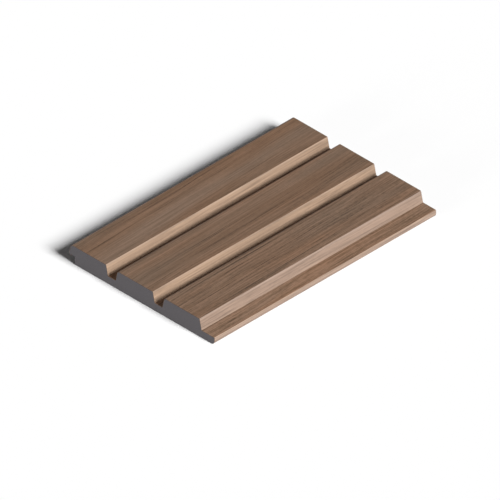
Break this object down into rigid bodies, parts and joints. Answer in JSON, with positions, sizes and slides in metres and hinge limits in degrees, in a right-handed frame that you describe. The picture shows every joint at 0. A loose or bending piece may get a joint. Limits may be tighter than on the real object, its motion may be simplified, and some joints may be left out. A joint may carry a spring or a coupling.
{
  "type": "slatted wall panel",
  "caption": "Slatted wall panel of foamed polystyrene with a wood-look film, a tongue on one long edge and a lip over a rebate on the other.",
  "frame": {"origin": "middle of the flat back, the face that is glued to the wall", "axes": "+X across the ribs towards the tongue, +Y along the ribs, +Z out of the face"},
  "size_m": [0.122, 0.1854, 0.013],
  "materials": {
    "foamed_polystyrene": "charcoal grey foamed polystyrene, fine closed cells at the cut ends",
    "woodgrain_film": "matt brown oak-look decor film with the grain along the length"
  },
  "bodies": {
    "root": {"foam_core": "foamed_polystyrene", "woodgrain_film": "woodgrain_film"}
  },
  "joints": []
}
